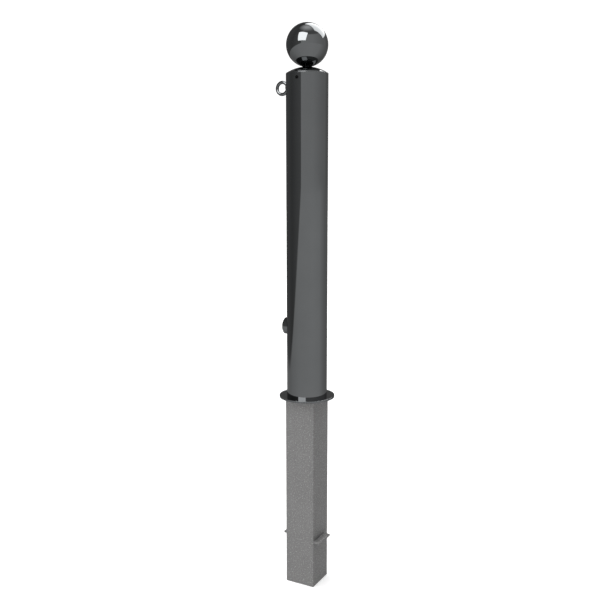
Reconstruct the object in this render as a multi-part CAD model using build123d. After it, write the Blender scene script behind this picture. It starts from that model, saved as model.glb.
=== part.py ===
from build123d import *
import os
from math import cos, radians, sin, sqrt

os.makedirs("parts", exist_ok=True)

# Removable round steel bollard with a ball head, and the square ground sleeve that it stands in.
# Millimetres. Z is up, and the origin is on the post's axis at ground level, where the underside
# of the cover plate rests on the sleeve's top end. The chain eye and the lock face -X.

# ---- Driving dimensions ----

# Post above ground
HEIGHT = 900.0              # top of the cover plate to the crown of the ball
TUBE_OD = 101.6
TUBE_WALL = 3.6
PLATE_D = 140.0
PLATE_T = 5.0
PLATE_EDGE = 0.8            # chamfer round the plate's edge

# Ball head
BALL_D = 100.0
BALL_WALL = 3.0
NECK_D = 26.0               # seat between the ball and the cap
CAP_RISE = 15.0             # rim to crown of the domed cap
CAP_LIP = 2.0               # straight edge below the dome
CAP_SHEET = 4.0
SKIRT_WALL = 5.0
SKIRT_PAST = 3.0            # skirt below the eye bolt's boss
STUD_D = 16.0
STUD_GRIP = 24.0            # length of stud in the ball and in the ball's boss
BOSS_EXTRA = 6.0            # the boss goes on past the stud's end
SEAT_D = 34.0               # flat seat for the washer, under the cap
SEAT_DEPTH = 8.0
WASHER_D = 30.0
WASHER_T = 3.0
NUT_FLATS = 24.0
NUT_T = 13.0
STUD_END = 4.0              # stud showing below the nut

# Grub screw that locks the cap in the tube
GRUB_D = 8.0
GRUB_LENGTH = 10.0
GRUB_DROP = 14.0            # rim of the cap to the screw's axis
GRUB_SUNK = 2.0             # screw's outer end below the tube's surface
GRUB_SOCKET = 4.0           # across the socket's flats
GRUB_SOCKET_DEPTH = 4.0

# Chain eye bolt
EYE_DROP = 30.0             # rim of the cap to the eye's axis
EYE_HOLE = 20.0
EYE_BAR = 8.0
EYE_COLLAR_D = 20.0
EYE_COLLAR_T = 5.5
EYE_THREAD = 8.0
EYE_SHANK = 16.0
EYE_ROOT = 1.0              # shank inside the collar
THREAD_BOSS_D = 18.0        # bosses inside the cap's skirt
THREAD_BOSS_LENGTH = 11.0

# Key lock
LOCK_Z = 179.0              # lock axis above ground
BUSH_D = 42.4
BUSH_OUT = 10.0             # bush standing out of the tube
BUSH_INNER_X = -24.0
BUSH_EDGE = 1.2
RECESS_D = 28.0
RECESS_DEPTH = 14.0
KEY_HEAD_ALTITUDE = 14.0    # height of the triangular head's section
KEY_HEAD_LENGTH = 8.0
SPINDLE_D = 16.0
SPINDLE_FLANGE_D = 22.0
SPINDLE_FLANGE_T = 2.5
SPINDLE_END_D = 10.0
CRANK_SCREW_D = 5.0
CRANK_SCREW_LENGTH = 14.0
CRANK_SCREW_HEAD_D = 10.0
CRANK_SCREW_HEAD_T = 2.8
CRANK_SCREW_SOCKET = 3.0    # across the socket's flats

# Crank and lock rod
KEY_TURN = 90.0             # degrees from unlocked to locked
CRANK_RADIUS = 9.0
CRANK_T = 6.0
CRANK_HUB_D = 20.0
CRANK_EYE_D = 14.0
CRANK_PIN_D = 7.0
PIN_PAST = 1.5              # pin ends standing past the plates that they drive
ROD_D = 10.0
ROD_PLATE_T = 6.0
YOKE_WIDTH = 38.0
YOKE_WEB = 6.0
CAM_WEB = 5.0
CAM_SLOPE = 45.0            # degrees: the latch travels as far as the rod

# Latch
LATCH_DEPTH = 70.0          # latch axis below ground
LATCH_WIDTH = 18.0
LATCH_HEIGHT = 16.0
LATCH_TAIL = 7.5            # fork behind the pin's centre
LATCH_PIN_D = 7.0
LATCH_EDGE = 1.0
HOUSING_WALL = 3.0
GUIDE_Z = 95.0
GUIDE_T = 4.0

# Spigot and ground sleeve
SLEEVE_SIDE = 80.0
SLEEVE_WALL = 3.0
SLEEVE_CORNER = 1.5
SLEEVE_LENGTH = 500.0
LEAST_CORNER = 0.5          # corner of a square bore when the wall is thick
SPIGOT_WALL = 3.0
SPIGOT_CORNER = 4.5
SPIGOT_LENGTH = 300.0
PLUG_T = 10.0
PLUG_INSERT = 12.0
PLUG_TAPER = 5.0
PLUG_CORNER = 1.5           # corners of the part inside the spigot
DRAIN_D = 12.0
PAD_T = 1.6
PAD_SIZE = 32.0
PAD_INSET = 12.0            # pad row to the spigot's end
ANCHOR_REACH = 18.0
ANCHOR_LENGTH = 60.0
ANCHOR_T = 5.0
ANCHOR_DEPTH = 372.0        # top of the anchor plates below ground
WELD_LEG = 4.0
POCKET_WALL = 3.0
POCKET_ROOM = 2.0           # space round the latch in its pocket
POCKET_END = 3.0            # space past the thrown latch

# Clearances
WELD_FIT = 0.1              # a welded piece in its hole, on the radius
CAP_FIT = 0.15              # skirt in the tube, on the radius
BOLT_FIT = 0.4              # screws in plain holes, on the radius
RUNNING_FIT = 0.05          # spindle in its bush, on the radius
END_PLAY = 0.2              # along the spindle
ROD_FIT = 0.15              # lock rod in its guide, on the radius
CRANK_SLOT_GAP = 0.5        # each side of the crank pin, for the arc that it follows
CAM_SLOT_GAP = 0.15         # each side of the latch pin in its cam slot
SLIDE_GAP = 0.3             # flat sliding faces
WINDOW_GAP = 0.8            # latch in the sleeve's window, each side
SOCKET_GAP = 2.0            # spigot in the sleeve, each side
LATCH_BACK = 1.0            # drawn latch inside the spigot's face
ROD_FOOT_GAP = 1.0          # thrown rod's foot above the latch housing

PAST = 1.0                  # cuts start and end this far past the faces that they open

# ---- Sizes that follow ----

TUBE_R = TUBE_OD / 2
TUBE_BORE_R = TUBE_R - TUBE_WALL
CROWN_Z = PLATE_T + HEIGHT - BALL_D
BALL_Z = CROWN_Z + BALL_D / 2
RIM_Z = CROWN_Z - CAP_RISE
TUBE_TOP_Z = RIM_Z - CAP_LIP
DOME_R = (TUBE_R**2 + CAP_RISE**2) / (2 * CAP_RISE)
DOME_Z = CROWN_Z - DOME_R
NECK_Z = BALL_Z - sqrt((BALL_D / 2) ** 2 - (NECK_D / 2) ** 2)
GRUB_Z = RIM_Z - GRUB_DROP
EYE_Z = RIM_Z - EYE_DROP
SKIRT_R = TUBE_BORE_R - CAP_FIT
SKIRT_BOTTOM_Z = EYE_Z - THREAD_BOSS_D / 2 - SKIRT_PAST
SEAT_Z = CROWN_Z - CAP_SHEET - SEAT_DEPTH
EYE_SEAT_R = sqrt(TUBE_R**2 - (EYE_COLLAR_D / 2 + BOLT_FIT) ** 2)
EYE_RING_R = (EYE_HOLE + EYE_BAR) / 2
EYE_COLLAR_ROUND = EYE_COLLAR_T / 3
EYE_X = -(EYE_SEAT_R + EYE_RING_R + EYE_BAR / 2 + BOLT_FIT)

BUSH_FACE_X = -(TUBE_R + BUSH_OUT)
RECESS_X = BUSH_FACE_X + RECESS_DEPTH
CRANK_X = BUSH_INNER_X + END_PLAY
CRANK_FACE_X = CRANK_X + CRANK_T
HALF_TURN = radians(KEY_TURN / 2)
PIN_Y = -CRANK_RADIUS * cos(HALF_TURN)
PIN_RISE = CRANK_RADIUS * sin(HALF_TURN)
THROW = 2 * PIN_RISE        # travel of the rod and of the latch
CAM_RUN = THROW / cos(radians(CAM_SLOPE))
YOKE_Z = LOCK_Z + PIN_RISE
YOKE_HEIGHT = CRANK_PIN_D + 2 * (CRANK_SLOT_GAP + YOKE_WEB)

LATCH_Z = -LATCH_DEPTH
CAM_SIZE = THROW + LATCH_PIN_D + 2 * (CAM_SLOT_GAP + CAM_WEB)
CAM_Z = LATCH_Z + THROW / 2
LATCH_PIN_Y = -THROW / 2
SPIGOT_SIDE = SLEEVE_SIDE - 2 * (SLEEVE_WALL + SOCKET_GAP)
SPIGOT_INNER = SPIGOT_SIDE - 2 * SPIGOT_WALL
LATCH_NOSE_Y = SPIGOT_SIDE / 2 - LATCH_BACK
LATCH_THROWN_Y = LATCH_NOSE_Y + THROW
FORK_Y = CAM_SIZE / 2 + SLIDE_GAP
HOUSING_BORE_X = LATCH_WIDTH + 2 * SLIDE_GAP
HOUSING_BORE_Z = LATCH_HEIGHT + 2 * SLIDE_GAP
HOUSING_TOP_Z = LATCH_Z + HOUSING_BORE_Z / 2 + HOUSING_WALL
CAM_TOP_Z = HOUSING_TOP_Z + THROW + ROD_FOOT_GAP

UP = (Align.CENTER, Align.CENTER, Align.MIN)


# ---- Shapes that repeat ----

def rod_z(diameter, z0, z1):
    """Round bar along Z on the axis."""
    return Pos(0, 0, z0) * Cylinder(diameter / 2, z1 - z0, align=UP)


def rod_x(diameter, x0, x1, y, z):
    """Round bar along X."""
    return Pos(x0, y, z) * Rot(0, 90, 0) * Cylinder(diameter / 2, x1 - x0, align=UP)


def rod_y(diameter, y0, y1, x, z):
    """Round bar along Y."""
    return Pos(x, y0, z) * Rot(-90, 0, 0) * Cylinder(diameter / 2, y1 - y0, align=UP)


def block(x0, x1, y0, y1, z0, z1):
    """Box between two corners."""
    middle = Pos((x0 + x1) / 2, (y0 + y1) / 2, (z0 + z1) / 2)
    return middle * Box(x1 - x0, y1 - y0, z1 - z0)


def square_bar(side, corner, z0, z1):
    """Square bar with round corners on the axis."""
    return Pos(0, 0, z0) * extrude(RectangleRounded(side, side, corner), z1 - z0)


def square_tube(side, wall, corner, z0, z1):
    """Square hollow section on the axis."""
    bore_corner = max(corner - wall, LEAST_CORNER)
    bore = square_bar(side - 2 * wall, bore_corner, z0 - PAST, z1 + PAST)
    return square_bar(side, corner, z0, z1) - bore


def yz_plate(profile, x0, x1):
    """Plate cut to a profile that is drawn in Y and Z, from x0 to x1."""
    return extrude(Plane((x0, 0, 0), x_dir=(0, 1, 0), z_dir=(1, 0, 0)) * profile, x1 - x0)


# ---- Post ----

def post_tube():
    """Round tube with holes for the lock bush, the eye bolt and the grub screw."""
    tube = rod_z(TUBE_OD, PLATE_T, TUBE_TOP_Z)
    tube -= rod_z(2 * TUBE_BORE_R, PLATE_T - PAST, TUBE_TOP_Z + PAST)
    tube -= rod_x(BUSH_D + 2 * WELD_FIT, -TUBE_OD, 0, 0, LOCK_Z)
    tube -= rod_x(EYE_THREAD + 2 * BOLT_FIT, -TUBE_OD, 0, 0, EYE_Z)
    tube -= rod_x(EYE_COLLAR_D + 2 * BOLT_FIT, -TUBE_OD, -EYE_SEAT_R, 0, EYE_Z)
    tube -= rod_y(GRUB_D + BOLT_FIT, -TUBE_OD, 0, 0, GRUB_Z)
    return tube


def cover_plate():
    """Round plate that the tube stands on and that covers the sleeve's mouth."""
    plate = chamfer(rod_z(PLATE_D, 0, PLATE_T).edges(), PLATE_EDGE)
    return plate - rod_z(CAM_SIZE + 2 * SLIDE_GAP, -PAST, PLATE_T + PAST)


def head_cap():
    """Domed cap with a skirt that plugs the tube, and a seat for the ball."""
    body = (Pos(0, 0, DOME_Z) * Sphere(DOME_R)) & rod_z(TUBE_OD, TUBE_TOP_Z, CROWN_Z + PAST)
    body += rod_z(2 * SKIRT_R, SKIRT_BOTTOM_Z, TUBE_TOP_Z)
    bore_r = SKIRT_R - SKIRT_WALL
    hollow = (Pos(0, 0, DOME_Z) * Sphere(DOME_R - CAP_SHEET)) & rod_z(
        2 * bore_r, SKIRT_BOTTOM_Z - PAST, CROWN_Z
    )
    body -= hollow
    inside = rod_z(2 * (bore_r + SKIRT_WALL / 2), SKIRT_BOTTOM_Z, RIM_Z)
    boss_end = SKIRT_R - THREAD_BOSS_LENGTH
    body += rod_x(THREAD_BOSS_D, -SKIRT_R, -boss_end, 0, EYE_Z) & inside
    body += rod_y(THREAD_BOSS_D, -SKIRT_R, -boss_end, 0, GRUB_Z) & inside
    body -= rod_x(EYE_THREAD, -TUBE_R, 0, 0, EYE_Z)
    body -= rod_y(GRUB_D, -TUBE_R, 0, 0, GRUB_Z)
    body += rod_z(NECK_D, CROWN_Z - CAP_SHEET, NECK_Z)
    body += rod_z(SEAT_D, SEAT_Z, CROWN_Z - CAP_SHEET / 2)
    return body - rod_z(STUD_D, SEAT_Z - PAST, NECK_Z + PAST)


def ball_finial():
    """Hollow ball, open at the bottom for its boss."""
    ball = Pos(0, 0, BALL_Z) * (Sphere(BALL_D / 2) - Sphere(BALL_D / 2 - BALL_WALL))
    return ball - rod_z(NECK_D, NECK_Z - BALL_WALL, BALL_Z)


def ball_boss():
    """Threaded boss welded into the ball."""
    top = NECK_Z + STUD_GRIP
    return rod_z(NECK_D, NECK_Z, top + BOSS_EXTRA) - rod_z(STUD_D, NECK_Z - PAST, top)


def ball_stud():
    """Stud that draws the ball down on the cap."""
    return rod_z(STUD_D, SEAT_Z - WASHER_T - NUT_T - STUD_END, NECK_Z + STUD_GRIP)


def cap_washer():
    """Washer under the cap."""
    z0 = SEAT_Z - WASHER_T
    return rod_z(WASHER_D, z0, SEAT_Z) - rod_z(STUD_D, z0 - PAST, SEAT_Z + PAST)


def cap_nut():
    """Hexagon nut under the washer."""
    z0 = SEAT_Z - WASHER_T - NUT_T
    nut = Pos(0, 0, z0) * extrude(RegularPolygon(NUT_FLATS / 2, 6, major_radius=False), NUT_T)
    return nut - rod_z(STUD_D, z0 - PAST, z0 + NUT_T + PAST)


def head_grub_screw():
    """Socket grub screw, backed out of the cap's skirt into the tube's hole."""
    outer = -(TUBE_R - GRUB_SUNK)
    screw = rod_y(GRUB_D, outer, outer + GRUB_LENGTH, 0, GRUB_Z)
    socket = extrude(RegularPolygon(GRUB_SOCKET / 2, 6, major_radius=False), GRUB_SOCKET_DEPTH)
    return screw - Pos(0, outer, GRUB_Z) * Rot(-90, 0, 0) * socket


def chain_eye_bolt():
    """Lifting-eye bolt for a chain: ring, collar and threaded shank."""
    ring = Pos(EYE_X, 0, EYE_Z) * Rot(90, 0, 0) * Torus(EYE_RING_R, EYE_BAR / 2)
    collar = rod_x(EYE_COLLAR_D, -(EYE_SEAT_R + EYE_COLLAR_T), -EYE_SEAT_R, 0, EYE_Z)
    collar = fillet(collar.edges().group_by(Axis.X)[0], EYE_COLLAR_ROUND)
    collar -= rod_y(EYE_HOLE, -EYE_COLLAR_D, EYE_COLLAR_D, EYE_X, EYE_Z)
    shank = rod_x(EYE_THREAD, -EYE_SEAT_R - EYE_ROOT, -EYE_SEAT_R + EYE_SHANK, 0, EYE_Z)
    return ring + collar + shank


def lock_bush():
    """Bush welded through the tube: key recess outside, spindle bearing inside."""
    bush = rod_x(BUSH_D, BUSH_FACE_X, BUSH_INNER_X, 0, LOCK_Z)
    bush = fillet(bush.edges().group_by(Axis.X)[0], BUSH_EDGE)
    bush -= rod_x(RECESS_D, BUSH_FACE_X - PAST, RECESS_X, 0, LOCK_Z)
    return bush - rod_x(SPINDLE_D + 2 * RUNNING_FIT, RECESS_X - PAST, BUSH_INNER_X + PAST, 0, LOCK_Z)


def rod_guide_disc():
    """Disc welded in the tube, with a bore that guides the lock rod."""
    disc = rod_z(2 * TUBE_BORE_R, GUIDE_Z, GUIDE_Z + GUIDE_T)
    return disc - rod_z(ROD_D + 2 * ROD_FIT, GUIDE_Z - PAST, GUIDE_Z + GUIDE_T + PAST)


def spigot_tube():
    """Square foot of the post, with the latch's window."""
    spigot = square_tube(SPIGOT_SIDE, SPIGOT_WALL, SPIGOT_CORNER, -SPIGOT_LENGTH, 0)
    half_x = HOUSING_BORE_X / 2
    half_z = HOUSING_BORE_Z / 2
    return spigot - block(-half_x, half_x, 0, SPIGOT_SIDE, LATCH_Z - half_z, LATCH_Z + half_z)


def spigot_end_plug():
    """Tapered plug that closes the spigot and leads it into the sleeve."""
    z0 = -SPIGOT_LENGTH - PLUG_T
    tip_side = SPIGOT_SIDE - 2 * PLUG_TAPER
    tip = Pos(0, 0, z0) * RectangleRounded(tip_side, tip_side, SPIGOT_CORNER)
    shoulder = Pos(0, 0, z0 + PLUG_TAPER) * RectangleRounded(SPIGOT_SIDE, SPIGOT_SIDE, SPIGOT_CORNER)
    plug = loft([tip, shoulder]) + square_bar(SPIGOT_SIDE, SPIGOT_CORNER, z0 + PLUG_TAPER, -SPIGOT_LENGTH)
    top = PLUG_INSERT - SPIGOT_LENGTH
    plug += square_bar(SPIGOT_INNER - 2 * SLIDE_GAP, PLUG_CORNER, -SPIGOT_LENGTH, top)
    return plug - rod_z(DRAIN_D, z0 - PAST, top + PAST)


def guide_pads():
    """Flat pads that centre the spigot in the sleeve: one row near each end, one pad a face."""
    pads = []
    face = SPIGOT_SIDE / 2
    half = PAD_SIZE / 2
    for z0 in (-PAD_INSET - PAD_SIZE, PAD_INSET - SPIGOT_LENGTH):
        pad = block(face, face + PAD_T, -half, half, z0, z0 + PAD_SIZE)
        for quarter in range(4):
            pads.append(Rot(0, 0, 90 * quarter) * pad)
    return Compound(children=pads)


def latch_housing():
    """Rectangular guide across the spigot for the latch, slotted for the cam plate."""
    half = SPIGOT_INNER / 2
    outer_x = HOUSING_BORE_X / 2 + HOUSING_WALL
    outer_z = HOUSING_BORE_Z / 2 + HOUSING_WALL
    housing = block(-outer_x, outer_x, -half, half, LATCH_Z - outer_z, LATCH_Z + outer_z)
    bore_x = HOUSING_BORE_X / 2
    bore_z = HOUSING_BORE_Z / 2
    housing -= block(-bore_x, bore_x, -half - PAST, half + PAST, LATCH_Z - bore_z, LATCH_Z + bore_z)
    slot_x = ROD_PLATE_T / 2 + SLIDE_GAP
    slot_y = CAM_SIZE / 2 + SLIDE_GAP
    return housing - block(-slot_x, slot_x, -slot_y, slot_y, LATCH_Z - 2 * outer_z, LATCH_Z + 2 * outer_z)


# ---- Key spindle ----

def lock_spindle():
    """Spindle with a triangular key head, a flange and a tapped end that carries the crank."""
    inradius = KEY_HEAD_ALTITUDE / 3
    triangle = RegularPolygon(inradius, 3, major_radius=False, rotation=90)
    flange_x = RECESS_X - END_PLAY / 2 - SPINDLE_FLANGE_T
    head = Pos(0, 0, LOCK_Z) * yz_plate(triangle, flange_x - KEY_HEAD_LENGTH, flange_x)
    flange = rod_x(SPINDLE_FLANGE_D, flange_x, flange_x + SPINDLE_FLANGE_T, 0, LOCK_Z)
    shaft = rod_x(SPINDLE_D, flange_x + SPINDLE_FLANGE_T, CRANK_X, 0, LOCK_Z)
    end = rod_x(SPINDLE_END_D, CRANK_X, CRANK_FACE_X, 0, LOCK_Z)
    tapping = rod_x(CRANK_SCREW_D, CRANK_FACE_X - CRANK_SCREW_LENGTH, CRANK_FACE_X, 0, LOCK_Z)
    return head + flange + shaft + end - tapping


def crank_arm():
    """Short arm on the spindle's inner end, at its unlocked angle."""
    hub = rod_x(CRANK_HUB_D, CRANK_X, CRANK_FACE_X, 0, LOCK_Z)
    eye = rod_x(CRANK_EYE_D, CRANK_X, CRANK_FACE_X, PIN_Y, YOKE_Z)
    link = SlotCenterToCenter(CRANK_RADIUS, CRANK_EYE_D, rotation=180 - KEY_TURN / 2)
    web = Pos(0, PIN_Y / 2, LOCK_Z + PIN_RISE / 2) * yz_plate(link, CRANK_X, CRANK_FACE_X)
    arm = hub + eye + web
    arm -= rod_x(SPINDLE_END_D, CRANK_X - PAST, CRANK_FACE_X + PAST, 0, LOCK_Z)
    return arm - rod_x(CRANK_PIN_D, CRANK_X - PAST, CRANK_FACE_X + PAST, PIN_Y, YOKE_Z)


def crank_pin():
    """Pin riveted in the crank arm, which drives the yoke."""
    return rod_x(CRANK_PIN_D, CRANK_X, ROD_PLATE_T / 2 + PIN_PAST, PIN_Y, YOKE_Z)


def crank_screw():
    """Button-head screw that holds the crank on the spindle."""
    head = rod_x(CRANK_SCREW_HEAD_D, CRANK_FACE_X, CRANK_FACE_X + CRANK_SCREW_HEAD_T, 0, LOCK_Z)
    head = fillet(head.edges().group_by(Axis.X)[-1], CRANK_SCREW_HEAD_T / 2)
    shank = rod_x(CRANK_SCREW_D, CRANK_FACE_X - CRANK_SCREW_LENGTH, CRANK_FACE_X, 0, LOCK_Z)
    hexagon = Pos(0, LOCK_Z) * RegularPolygon(CRANK_SCREW_SOCKET / 2, 6, major_radius=False)
    outer = CRANK_FACE_X + CRANK_SCREW_HEAD_T
    return head + shank - yz_plate(hexagon, outer - CRANK_SCREW_HEAD_T / 2, outer + PAST)


# ---- Lock rod ----

def rod_yoke():
    """Plate at the rod's top, with a level slot for the crank pin."""
    plate = Pos(0, YOKE_Z) * Rectangle(YOKE_WIDTH, YOKE_HEIGHT)
    slot_y = -(CRANK_RADIUS - PIN_Y) / 2
    slot_run = CRANK_RADIUS + PIN_Y + 2 * CRANK_SLOT_GAP
    slot = SlotCenterToCenter(slot_run, CRANK_PIN_D + 2 * CRANK_SLOT_GAP)
    return yz_plate(plate - Pos(slot_y, YOKE_Z) * slot, -ROD_PLATE_T / 2, ROD_PLATE_T / 2)


def lock_rod():
    """Round rod from the yoke down to the cam plate."""
    return rod_z(ROD_D, CAM_TOP_Z, YOKE_Z - YOKE_HEIGHT / 2)


def cam_plate():
    """Plate at the rod's foot, with a sloping slot that throws the latch."""
    foot_z = CAM_Z - CAM_SIZE / 2
    plate = Pos(0, (CAM_TOP_Z + foot_z) / 2) * Rectangle(CAM_SIZE, CAM_TOP_Z - foot_z)
    slot = SlotCenterToCenter(CAM_RUN, LATCH_PIN_D + 2 * CAM_SLOT_GAP, rotation=CAM_SLOPE)
    return yz_plate(plate - Pos(0, CAM_Z) * slot, -ROD_PLATE_T / 2, ROD_PLATE_T / 2)


# ---- Latch ----

def latch_bolt():
    """Square-nosed latch, forked round the cam plate."""
    half_x = LATCH_WIDTH / 2
    half_z = LATCH_HEIGHT / 2
    tail_y = LATCH_PIN_Y - LATCH_TAIL
    bolt = block(-half_x, half_x, tail_y, LATCH_NOSE_Y, LATCH_Z - half_z, LATCH_Z + half_z)
    bolt = chamfer(bolt.edges().group_by(Axis.Y)[-1], LATCH_EDGE)
    slot_x = ROD_PLATE_T / 2 + SLIDE_GAP
    bolt -= block(-slot_x, slot_x, tail_y - PAST, FORK_Y, LATCH_Z - half_z - PAST, LATCH_Z + half_z + PAST)
    return bolt - rod_x(LATCH_PIN_D, -LATCH_WIDTH, LATCH_WIDTH, LATCH_PIN_Y, LATCH_Z)


def latch_pin():
    """Pin across the latch's fork, through the cam slot."""
    return rod_x(LATCH_PIN_D, -LATCH_WIDTH / 2, LATCH_WIDTH / 2, LATCH_PIN_Y, LATCH_Z)


# ---- Ground sleeve ----

def ground_sleeve():
    """Square hollow section cast into the foundation, with a window for the latch."""
    sleeve = square_tube(SLEEVE_SIDE, SLEEVE_WALL, SLEEVE_CORNER, -SLEEVE_LENGTH, 0)
    half_x = LATCH_WIDTH / 2 + WINDOW_GAP
    half_z = LATCH_HEIGHT / 2 + WINDOW_GAP
    return sleeve - block(-half_x, half_x, 0, SLEEVE_SIDE, LATCH_Z - half_z, LATCH_Z + half_z)


def latch_pocket():
    """Box welded over the window, which keeps concrete off the latch."""
    half_x = LATCH_WIDTH / 2 + WINDOW_GAP + POCKET_ROOM
    half_z = LATCH_HEIGHT / 2 + WINDOW_GAP + POCKET_ROOM
    y0 = SLEEVE_SIDE / 2
    y1 = LATCH_THROWN_Y + POCKET_END
    shell = block(-half_x - POCKET_WALL, half_x + POCKET_WALL, y0, y1 + POCKET_WALL,
                  LATCH_Z - half_z - POCKET_WALL, LATCH_Z + half_z + POCKET_WALL)
    return shell - block(-half_x, half_x, y0 - PAST, y1, LATCH_Z - half_z, LATCH_Z + half_z)


def paired(piece):
    """A piece and its copy turned half a turn about the axis."""
    return Compound(children=[piece, Rot(0, 0, 180) * piece])


def anchor_plates():
    """Two flat plates that key the sleeve into the concrete."""
    face = SLEEVE_SIDE / 2
    under = -ANCHOR_DEPTH - ANCHOR_T
    return paired(block(face, face + ANCHOR_REACH, -face, ANCHOR_LENGTH - face, under, -ANCHOR_DEPTH))


def anchor_welds():
    """Fillet weld under each anchor plate."""
    face = SLEEVE_SIDE / 2
    under = -ANCHOR_DEPTH - ANCHOR_T
    bead = Polygon((face, under), (face + WELD_LEG, under), (face, under - WELD_LEG), align=None)
    length = ANCHOR_LENGTH - 2 * SLEEVE_CORNER
    start = Plane((0, SLEEVE_CORNER - face, 0), x_dir=(1, 0, 0), z_dir=(0, -1, 0))
    return paired(extrude(start * bead, length, dir=(0, 1, 0)))


NODES = {
    "post_tube": post_tube,
    "cover_plate": cover_plate,
    "head_cap": head_cap,
    "ball_finial": ball_finial,
    "ball_boss": ball_boss,
    "ball_stud": ball_stud,
    "cap_washer": cap_washer,
    "cap_nut": cap_nut,
    "head_grub_screw": head_grub_screw,
    "chain_eye_bolt": chain_eye_bolt,
    "lock_bush": lock_bush,
    "rod_guide_disc": rod_guide_disc,
    "spigot_tube": spigot_tube,
    "spigot_end_plug": spigot_end_plug,
    "guide_pads": guide_pads,
    "latch_housing": latch_housing,
    "lock_spindle": lock_spindle,
    "crank_arm": crank_arm,
    "crank_pin": crank_pin,
    "crank_screw": crank_screw,
    "rod_yoke": rod_yoke,
    "lock_rod": lock_rod,
    "cam_plate": cam_plate,
    "latch_bolt": latch_bolt,
    "latch_pin": latch_pin,
    "ground_sleeve": ground_sleeve,
    "latch_pocket": latch_pocket,
    "anchor_plates": anchor_plates,
    "anchor_welds": anchor_welds,
}

for name, make in NODES.items():
    export_step(make(), "parts/" + name + ".step")

print("crank radius", CRANK_RADIUS, "throw of the rod and latch", round(THROW, 3))
print("eye centre x", round(EYE_X, 2), "z", EYE_Z, "neck z", round(NECK_Z, 2))
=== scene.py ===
import logging
import math
from dataclasses import dataclass
from enum import Enum
from functools import cache

import bmesh
import bpy
from mathutils import Matrix, Vector


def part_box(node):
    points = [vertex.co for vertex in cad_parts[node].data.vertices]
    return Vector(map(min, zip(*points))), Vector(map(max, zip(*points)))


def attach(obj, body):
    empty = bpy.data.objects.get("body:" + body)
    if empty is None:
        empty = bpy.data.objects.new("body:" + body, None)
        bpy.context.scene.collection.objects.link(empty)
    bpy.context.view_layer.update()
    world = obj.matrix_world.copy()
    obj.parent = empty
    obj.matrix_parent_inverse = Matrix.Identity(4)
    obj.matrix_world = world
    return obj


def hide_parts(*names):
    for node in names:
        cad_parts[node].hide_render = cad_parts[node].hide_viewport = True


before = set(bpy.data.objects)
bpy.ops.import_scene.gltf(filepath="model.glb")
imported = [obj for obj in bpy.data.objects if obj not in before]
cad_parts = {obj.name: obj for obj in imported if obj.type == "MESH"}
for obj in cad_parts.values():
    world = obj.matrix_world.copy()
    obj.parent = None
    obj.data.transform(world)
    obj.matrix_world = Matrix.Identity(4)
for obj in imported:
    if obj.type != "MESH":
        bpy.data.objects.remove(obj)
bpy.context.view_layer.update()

log = logging.getLogger("bollard")

MM = 0.001
QUARTER = math.radians(90.0)
SMOOTH_ANGLE = math.radians(32.0)
WELD_DISTANCE = 0.000001
SUPPORT = 0.6 * MM
CUT_EDGE = 0.1 * MM
SQUARE_STEPS = 6
FINE = 128

Pair = tuple[float, float]
Triple = tuple[float, float, float]
Stop = tuple[float, Triple]
Node = bpy.types.Node
Socket = bpy.types.NodeSocket
NodeGroup = bpy.types.GeometryNodeTree
Mesh = bpy.types.Mesh
Feed = Socket | float


class Body(str, Enum):
    """The rigid bodies that the modelled pieces ride on; rod and latch have only CAD pieces."""

    SLEEVE = "ground_sleeve"
    POST = "post"
    SPINDLE = "lock_spindle"


class Slot(str, Enum):
    """The record's material slots."""

    PAINT = "paint"
    ZINC = "zinc"
    BLACK_SCREW = "black_screw"
    SPINDLE_STEEL = "spindle_steel"
    INNER_STEEL = "inner_steel"
    BLACK_PLASTIC = "black_plastic"


class Axis(Enum):
    """The axis that a turned piece is spun about."""

    X = "X"
    Y = "Y"
    Z = "Z"

    def matrix(self, place: Vector) -> Matrix:
        """Matrix from the lathe's Z axis to this axis through a place.

        Args:
            place: point on the axis, where the section's height is zero.

        Returns:
            The matrix for a mesh that was spun about Z.
        """
        turn = {
            Axis.X: Matrix.Rotation(QUARTER, 4, "Y"),
            Axis.Y: Matrix.Rotation(-QUARTER, 4, "X"),
            Axis.Z: Matrix.Identity(4),
        }[self]
        return Matrix.Translation(place) @ turn


@dataclass(frozen=True)
class Span:
    """Box of one CAD node at rest, in metres."""

    low: Vector
    high: Vector

    @classmethod
    def of(cls, node: str) -> "Span":
        """Box of the named node."""
        low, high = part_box(node)
        return cls(low, high)

    @property
    def size(self) -> Vector:
        """Edge lengths of the box."""
        return self.high - self.low

    @property
    def middle(self) -> Vector:
        """Middle of the box."""
        return (self.low + self.high) / 2


def placed(name: str, data: bpy.types.ID) -> bpy.types.Object:
    """New object in the scene."""
    thing = bpy.data.objects.new(name, data)
    bpy.context.scene.collection.objects.link(thing)
    return thing


# ---- Nodes ----


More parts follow.
